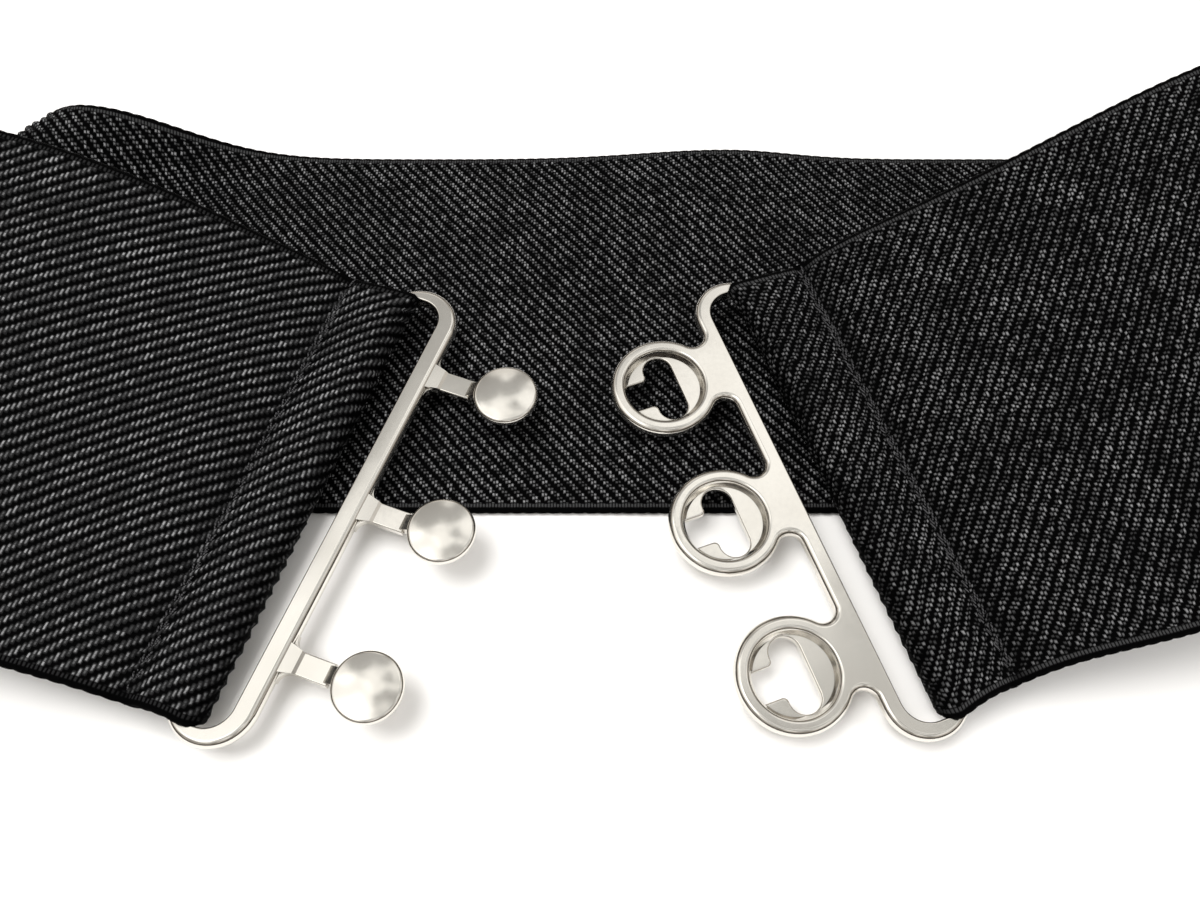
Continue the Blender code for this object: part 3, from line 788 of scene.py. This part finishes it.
def webbing_finish():
    """Black twill elastic: each pick floats over a rib as a pair of beads, on cords of rubber that run along
    the band, and over a rope where the band is stretched. Its base colour paints the glints of beads, rope
    and selvage ticks as grey on the black."""
    made, m, shader = shader_of("black_elastic")
    along = m.attribute("weave_along")
    across = m.attribute("weave_across")
    inner = m("MULTIPLY_ADD", m.attribute("inner"), 0.5, 0.5)
    stretched = m.ramp(along, *STRETCHED_END, 1.0, 0.0)
    slack = m.ramp(along, *SLACK_START)

    def varied(name):
        """A value that changes along the ribbon."""
        usual, if_stretched, if_slack = WEAVE_LOOK[name]
        return m("MULTIPLY_ADD", stretched, if_stretched, m("MULTIPLY_ADD", slack, if_slack, usual))

    # Which pick and which float of it a point is on, and how far it is from their middles
    place = m.combine(along, across)
    uneven = m.noise(place, WANDER_SCALE, 1.0, noise_dimensions="2D")
    wander = m("MULTIPLY", m("SUBTRACT", uneven, 0.5), varied("wander"))
    pick = m("MULTIPLY_ADD", along, float(PICKS), m("MULTIPLY", wander, PICK_WANDER))
    number = m("FLOOR", pick)
    beside = m("ABSOLUTE", m("SUBTRACT", m("FRACT", pick), 0.5))
    middle = m("MULTIPLY_ADD", m("ADD", number, 0.5), 1 / PICKS, across)
    middle = m("MULTIPLY_ADD", inner, 0.5, m("ADD", middle, wander))
    float_number = m("ROUND", middle)
    beyond = m("ABSOLUTE", m("SUBTRACT", middle, float_number))

    # Each bead's luck, and the patches where the weave is worn
    pair = m.combine(number, float_number, m("GREATER_THAN", middle, float_number))
    luck = m.node("ShaderNodeTexWhiteNoise", {"Vector": pair}, noise_dimensions="3D").outputs["Value"]
    patch = m.ramp(m.noise(place, WEAR_SCALE, noise_dimensions="2D"), *WEAR_EDGE)

    # The rope and the two beads of a float, and the rubber cords between them
    narrow = m("MULTIPLY", beside, varied("narrowing"))
    round_top = m("SQRT", m("SUBTRACT", 1.0, m("POWER", narrow, 2.0), clamp=True))
    rope = m("MULTIPLY", stretched, m("MULTIPLY_ADD", round_top, *ROPE_TONE))
    rope = m("MULTIPLY", m.ramp(beyond, *ROPE_EDGE, 1.0, 0.0), rope)
    apart = m("MULTIPLY_ADD", m("FRACT", m("MULTIPLY", luck, SECOND_LUCK)), LUCK_IN_GAP, varied("pair_gap"))
    beyond = m("ABSOLUTE", m("SUBTRACT", beyond, apart))
    reach = m("MULTIPLY_ADD", luck, LUCK_IN_REACH, varied("bead_reach"))
    end = m.ramp(beyond, m("SUBTRACT", reach, BEAD_ENDS[0]), m("ADD", reach, BEAD_ENDS[1]), 1.0, 0.0)
    bead = m("MULTIPLY", round_top, end)
    cord = m("COSINE", m("MULTIPLY", across, 2 * math.pi))

    # The plain selvage, with a tick for each pick
    edge = m("MULTIPLY", m("ABSOLUTE", across), CELL_ACROSS * 1000)
    plain = m.ramp(edge, *SELVAGE)
    tick = m.ramp(m("ABSOLUTE", m("SUBTRACT", edge, TICK_PLACE)), *TICK_EDGE, 1.0, 0.0)
    tick = m("MULTIPLY", tick, round_top)

    beads = m("MULTIPLY", bead, m("MULTIPLY_ADD", luck, *LUCK_IN_HEIGHT))
    weave_height = m("MULTIPLY_ADD", cord, varied("cord"), beads)
    height = m.blend(plain, weave_height, m("MULTIPLY", tick, TICK_HEIGHT))

    # Painted highlight: the grey tone of beads, rope and ticks stands in for their glints
    shine = m("MULTIPLY_ADD", m("POWER", luck, SHINE_POWER), *LUCK_IN_SHINE)
    shine = m("MULTIPLY", shine, m.blend(varied("worn"), 1.0, patch))
    shine = m("MULTIPLY", shine, varied("shine"))
    tone = m("MAXIMUM", rope, m("MULTIPLY", bead, shine))
    tone = m.blend(plain, tone, m("MULTIPLY", tick, varied("tick")))
    # Painted shade: the tone is darker in each seam's valley
    tone = m("MULTIPLY", tone, m("MULTIPLY_ADD", m.attribute("seam_shade"), SEAM_PAINTED_SHADE, 1.0))
    # Painted shade: the tone is darker round each fold, where the band turns steeply down
    tone = m("MULTIPLY", tone, m("MULTIPLY_ADD", m.attribute("fold_shade"), FOLD_PAINTED_SHADE, 1.0))
    m.fill(shader, {
        "Base Color": m.mix(tone, *ELASTIC_BLACK_AND_GLINT),
        "Roughness": m("MULTIPLY_ADD", tone, *ELASTIC_ROUGHNESS),
        "Normal": m.bump(height, 1.0, WEAVE_RELIEF),
    })
    shader.inputs["Specular IOR Level"].default_value = 0.03
    return made


def thread_finish():
    """Black sewing thread, twisted."""
    made, m, shader = shader_of("black_thread")
    given = {"Scale": THREAD_TWIST, "Vector": m.node("ShaderNodeTexCoord").outputs["Object"]}
    twist = m.node("ShaderNodeTexWave", given, wave_type="BANDS", bands_direction="DIAGONAL").outputs["Fac"]
    m.fill(shader, {
        "Base Color": m.mix(twist, *THREAD_COLOURS),
        "Roughness": 0.55,
        "Normal": m.bump(twist, *THREAD_BUMP),
    })
    return made


def metal_finish():
    """Polished nickel over a casting: faint waves, a fine grain in its gloss, and painted shade that darkens
    its inner corners.
    """
    made, m, shader = shader_of("polished_nickel")
    place = m.node("ShaderNodeTexCoord").outputs["Object"]
    waves = m.noise(place, NICKEL_WAVES, 1.0)
    grain = m.noise(place, NICKEL_GRAIN)
    # Painted shade: ambient occlusion darkens the base colour in the inner corners and recesses
    corners = m.node("ShaderNodeAmbientOcclusion", {"Distance": PAINTED_SHADE_REACH}, samples=8).outputs["AO"]
    m.fill(shader, {
        "Base Color": m.mix(m.ramp(corners, *PAINTED_SHADE_EDGE), NICKEL_PAINTED_SHADE, m.mix(waves, *NICKEL_COLOURS)),
        "Metallic": 1.0,
        "Roughness": m("MULTIPLY_ADD", grain, *NICKEL_ROUGHNESS),
        "Normal": m.bump(waves, *NICKEL_BUMP),
    })
    return made


# The clasps


def loft(name, outline, sections):
    """A closed solid through one outline at several heights, each with how far in the outline is drawn."""
    shape = bmesh.new()
    loops = [[shape.verts.new((*point, height)) for point in outline(inset)] for height, inset in sections]
    for lower, upper in zip(loops, loops[1:]):
        for here in range(len(lower)):
            after = (here + 1) % len(lower)
            shape.faces.new((lower[here], lower[after], upper[after], upper[here]))
    shape.faces.new(reversed(loops[0]))
    shape.faces.new(loops[-1])
    return mesh_of(name, shape)


def rounded_sections(bottom, top, rounding):
    """Heights and insets of a plate whose top and bottom edges are rounded."""
    lower = [(bottom + rounding * (1 - math.cos(turn)), rounding * (1 - math.sin(turn))) for turn in QUARTER]
    return lower + [(bottom + top - height, inset) for height, inset in reversed(lower)]


def cut_sections(bottom, top, rounding):
    """The same for a cutter through the plate, which flares past both faces to round the hole's edges."""
    lower = [(bottom - rounding / 2, -rounding)]
    lower += [(bottom + rounding * (1 - math.cos(turn)), rounding * (math.sin(turn) - 1)) for turn in QUARTER]
    return lower + [(bottom + top - height, inset) for height, inset in reversed(lower)]


def frame_ends(bar_width, inset):
    """The frame's two round ends, from the outer bar over the inner bar and back, as two lists of points."""
    half_depth = (bar_width + SLOT_WIDTH + INNER_BAR_WIDTH) / 2
    middle = bar_width - half_depth
    reach = BAND_WIDTH / 2 + SLOT_END_GAP + FRAME_END_WIDTH - half_depth
    far = arc((middle, reach), half_depth - inset, 0, 180, ROUND_STEPS // 2)
    near = arc((middle, -reach), half_depth - inset, 180, 360, ROUND_STEPS // 2)
    return far, near


def slot_outline(inset):
    """The slot for the band: wide round corners at the outer bar and tight ones at the inner bar."""
    wide = SLOT_WIDTH / 2
    tight = SLOT_WIDTH / 8
    half = BAND_WIDTH / 2 + SLOT_END_GAP
    points = []
    for radius, x, y, start in (
        (wide, -wide, half - wide, 0),
        (tight, tight - SLOT_WIDTH, half - tight, 90),
        (tight, tight - SLOT_WIDTH, tight - half, 180),
        (wide, -wide, wide - half, 270),
    ):
        points += arc((x, y), radius - inset, start, start + 90, ROUND_STEPS // 4)
    return points


def unit_places():
    """The place along the bar of each stud or ring, the farthest one first."""
    return [UNIT_PITCH * ((UNIT_COUNT - 1) / 2 - number) for number in range(UNIT_COUNT)]


def stud_contour(inset):
    far, near = frame_ends(BAR_WIDTHS[-1], inset)
    return far + near


def ring_contour(inset):
    """The ring clasp's outer edge: the frame, and each ring blended into the outer bar by two fillets."""
    far, near = frame_ends(BAR_WIDTHS[1], inset)
    edge = BAR_WIDTHS[1] - inset
    radius = RING_DIAMETER / 2 - inset
    fillet = ROOT_FILLET + inset
    across = RING_REACH - edge - fillet
    along = math.sqrt((radius + fillet) ** 2 - across**2)
    lean = math.degrees(math.atan2(along, across))
    points = far + near
    for place in reversed(unit_places()):
        points += arc((edge + fillet, place - along), fillet, 180, lean, ROUND_STEPS // 6)
        points += arc((RING_REACH, place), radius, lean - 180, 180 - lean, ROUND_STEPS)[1:-1]
        points += arc((edge + fillet, place + along), fillet, -lean, -180, ROUND_STEPS // 6)
    return points


def circle_outline(centre, radius):
    def outline(inset):
        return arc(centre, radius - inset, 0, 360, ROUND_STEPS)[:-1]

    return outline


def keyhole_outline(place):
    """The opening in a ring's floor: a long hole beside the bar, and a stem out to the recess wall."""

    def outline(inset):
        half = KEYHOLE_LENGTH / 2 - inset
        end = KEYHOLE_WIDTH / 2 - inset
        stem = KEYHOLE_STEM_WIDTH / 2 - inset
        middle = RING_REACH - KEYHOLE_SHIFT
        wall = RING_REACH + RECESS_DIAMETER / 2 - RECESS_DRAFT
        corner = middle + end + KEYHOLE_FILLET
        points = arc((middle, place + half - end), end, 0, 180, ROUND_STEPS // 4)
        points += arc((middle, place - half + end), end, 180, 360, ROUND_STEPS // 4)
        points += arc((corner, place - stem - KEYHOLE_FILLET), KEYHOLE_FILLET, 180, 90, ROUND_STEPS // 8)
        points += [(wall, place - stem), (wall, place + stem)]
        points += arc((corner, place + stem + KEYHOLE_FILLET), KEYHOLE_FILLET, 270, 180, ROUND_STEPS // 8)
        return points

    return outline


def tab_outline(place):
    """A stud's tab in plan, flared at its root by two fillets."""

    def outline(inset):
        edge = BAR_WIDTHS[-1]
        half = TAB_WIDTH / 2 - inset
        tip = STUD_REACH - STUD_DIAMETER / 2 - ROOT_FILLET / 2 - inset
        fillet = ROOT_FILLET + inset
        near = arc((edge + fillet, place - half - fillet), fillet, 180, 90, ROUND_STEPS // 6)
        far = arc((edge + fillet, place + half + fillet), fillet, 270, 180, ROUND_STEPS // 6)
        root = edge * 2 / 3
        return (
            [(root, place - half - fillet)] + near + [(tip, place - half), (tip, place + half)] + far
            + [(root, place + half + fillet)]
        )

    return outline


def side_block(name, profile, place, widths):
    """A solid from a side profile in X and Z. Its half width at each end of X comes from widths."""
    low = min(x for x, _ in profile)
    high = max(x for x, _ in profile)
    shape = bmesh.new()
    sides = []
    for sign in (-1, 1):
        loop = []
        for x, z in profile:
            half = widths[0] + (widths[1] - widths[0]) * (x - low) / (high - low)
            loop.append(shape.verts.new((x, place + sign * half, z)))
        sides.append(loop)
    for here in range(len(profile)):
        after = (here + 1) % len(profile)
        shape.faces.new((sides[0][here], sides[0][after], sides[1][after], sides[1][here]))
    shape.faces.new(sides[0])
    shape.faces.new(sides[1])
    bmesh.ops.recalc_face_normals(shape, faces=shape.faces)
    return mesh_of(name, shape)


def stud_parts(number, place):
    """The meshes of one stud: its tab, the gusset at its root, its neck and its domed disc."""
    bar = BAR_WIDTHS[-1]
    top = TAB_FOOT + TAB_THICKNESS
    tab = loft(f"tab_{number}", tab_outline(place), rounded_sections(TAB_FOOT, top, TAB_THICKNESS / 6))
    gusset = side_block(
        f"gusset_{number}",
        (
            (bar * GUSSET_ROOT, TAB_FOOT * 2),
            (bar + ROOT_FILLET * GUSSET_REACH, TAB_FOOT * 2),
            (bar + ROOT_FILLET * GUSSET_REACH, top - TAB_FOOT / 2),
            (bar + ROOT_FILLET * GUSSET_KNEE, top + TAB_FOOT * GUSSET_RISE),
            (bar * GUSSET_ROOT, CLASP_THICKNESS - EDGE_ROUND / 2),
        ),
        place,
        [TAB_WIDTH * share for share in GUSSET_WIDTHS],
    )
    disc_edge = STUD_REACH - STUD_DIAMETER / 2
    neck = side_block(
        f"neck_{number}",
        (
            (disc_edge - ROOT_FILLET, TAB_FOOT * 2),
            (disc_edge + NECK_WIDTH * 0.5, TAB_FOOT * 2),
            (disc_edge + NECK_WIDTH, TAB_THICKNESS),
            (disc_edge + NECK_WIDTH, STUD_LIFT + STUD_THICKNESS / 4),
            (disc_edge + EDGE_ROUND, STUD_LIFT + STUD_THICKNESS / 4),
            (disc_edge - ROOT_FILLET, top - TAB_FOOT),
        ),
        place,
        (NECK_WIDTH / 2, NECK_WIDTH / 2),
    )
    crown = STUD_LIFT + STUD_THICKNESS
    radius = STUD_DIAMETER / 2
    sections = rounded_sections(STUD_LIFT, crown, EDGE_ROUND)
    for step in range(1, DOME_STEPS + 1):
        share = 1 - step / (DOME_STEPS + 1)
        sections.append((crown + SOFT_DOME * (1 - share**2), radius - (radius - EDGE_ROUND) * share))
    disc = loft(f"disc_{number}", circle_outline((STUD_REACH, place), radius), sections)
    return tab, gusset, neck, disc


def boolean(target, operation, mesh):
    other = object_of(mesh.name, mesh)
    change = target.modifiers.new(mesh.name, "BOOLEAN")
    change.operation = operation
    change.solver = "EXACT"
    change.object = other
    return other


def finished_clasp(clasp, helpers, side, node, finish):
    """Applies the modifiers, puts the clasp in its place, and gives it its finish."""
    bpy.context.view_layer.update()
    graph = bpy.context.evaluated_depsgraph_get()
    made = bpy.data.meshes.new_from_object(clasp.evaluated_get(graph))
    clasp.modifiers.clear()
    clasp.data = made
    for helper in helpers:
        bpy.data.objects.remove(helper)
    made.transform(clasp_frame(side))
    made.shade_smooth()
    made.set_sharp_from_angle(angle=SHARP_ANGLE)
    level = clasp.modifiers.new("Even shading", "WEIGHTED_NORMAL")
    level.keep_sharp = True
    made.materials.clear()
    made.materials.append(finish)
    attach(clasp, "root")
    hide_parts(node)


def clasp_plate(name, contour):
    """A clasp half's flat frame, and a list with the helper that cuts its slot."""
    plate = rounded_sections(0.0, CLASP_THICKNESS, SOFT_EDGE)
    hole = cut_sections(0.0, CLASP_THICKNESS, EDGE_ROUND / 2)
    clasp = object_of(name, loft(name, contour, plate))
    return clasp, [boolean(clasp, "DIFFERENCE", loft(f"{name}_slot", slot_outline, hole))]


def stud_clasp(finish):
    clasp, helpers = clasp_plate("stud_half", stud_contour)
    for number, place in enumerate(unit_places(), 1):
        for mesh in stud_parts(number, place):
            helpers.append(boolean(clasp, "UNION", mesh))
    finished_clasp(clasp, helpers, -1, "stud_clasp", finish)


def ring_clasp(finish):
    """The ring half: each ring has a recess with a soft lip, and a keyhole through the recess's floor."""
    clasp, helpers = clasp_plate("ring_half", ring_contour)
    floor = CLASP_THICKNESS - RECESS_DEPTH
    recess = [(floor, RECESS_DRAFT + SOFT_LIP)]
    through = [(-CLASP_THICKNESS / 2, 0.0)]
    for turn in QUARTER:
        drop = 1 - math.sin(turn)
        recess.append((CLASP_THICKNESS - SOFT_LIP * drop, SOFT_LIP * math.cos(turn)))
        through.append((floor - SOFT_KEY * drop, SOFT_KEY * (math.cos(turn) - 1)))
    recess.append((CLASP_THICKNESS + SOFT_LIP, 0.0))
    through.append((floor + RECESS_DEPTH / 4, -SOFT_KEY))
    for number, place in enumerate(unit_places(), 1):
        round_wall = circle_outline((RING_REACH, place), RECESS_DIAMETER / 2)
        for mesh in (
            loft(f"recess_{number}", round_wall, recess),
            loft(f"keyhole_{number}", keyhole_outline(place), through),
        ):
            helpers.append(boolean(clasp, "DIFFERENCE", mesh))
    finished_clasp(clasp, helpers, 1, "ring_clasp", finish)


# The stage


def lamps():
    """Soft lamps that the metal doesn't mirror, because it reflects the room alone."""
    for name, (place, size, power, colour) in LAMPS.items():
        data = bpy.data.lights.new(name, "AREA")
        data.shape = "RECTANGLE"
        data.size, data.size_y = size
        data.energy = power
        data.color = colour
        light = object_of(name, data)
        light.visible_glossy = False
        light.location = place
        light.rotation_euler = (-Vector(place)).to_track_quat("-Z", "Y").to_euler()


def room():
    """A pale room, brightest overhead and warm and dim near the table, which the metal reflects."""
    world = bpy.data.worlds.new("room")
    world.use_nodes = True
    tree = world.node_tree
    m = Maths(tree)
    direction = m.node("ShaderNodeTexCoord").outputs["Generated"]
    height = m.node("ShaderNodeSeparateXYZ", {0: direction}).outputs["Z"]
    wall = m.mix(m.ramp(height, *WALL_RISE), TABLE_SIDE, WALL)
    ceiling = m.mix(m.ramp(height, *CEILING_RISE), WALL, CEILING)
    clouds = m.noise(direction, CLOUD_SCALE, 1.0)
    towards = m.node("ShaderNodeVectorMath", {0: direction, 1: WINDOW}, operation="DOT_PRODUCT")
    window = m.ramp(towards.outputs["Value"], *WINDOW_EDGE, 0.0, WINDOW_GLOW)
    m.fill(tree.nodes["Background"], {
        "Color": m.mix(m("GREATER_THAN", height, WALL_RISE[1]), wall, ceiling),
        "Strength": m("ADD", m.ramp(clouds, *CLOUD_EDGE, *CLOUD_GLOW), window),
    })
    bpy.context.scene.world = world


def stage():
    """A white table under a pale room, a large soft lamp above it and a smaller one to the right."""
    bpy.ops.mesh.primitive_plane_add(size=TABLE_SIZE)
    floor = bpy.context.object
    floor.name = "table"
    made, _, shader = shader_of("white_table")
    shader.inputs["Base Color"].default_value = TABLE_COLOUR
    shader.inputs["Roughness"].default_value = 0.7
    shader.inputs["Specular IOR Level"].default_value = 0.2
    floor.data.materials.append(made)

    room()
    lamps()

    data = bpy.data.cameras.new("camera")
    data.lens = CAMERA_LENS
    data.sensor_width = CAMERA_SENSOR
    data.clip_start = 0.005
    camera = object_of("camera", data)
    camera.location = CAMERA_PLACE
    camera.rotation_euler = (math.pi / 2 - CAMERA_PITCH, 0.0, 0.0)
    bpy.context.scene.camera = camera
    bpy.context.scene.view_settings.view_transform = "Standard"


ribbon = Ribbon()
band = elastic_band(ribbon, webbing_finish())
metal = metal_finish()
stud_clasp(metal)
ring_clasp(metal)
thread = thread_finish()
for number, name in enumerate(("stud_hem_thread", "ring_hem_thread")):
    seam_thread(ribbon, number, name, thread)
stage()
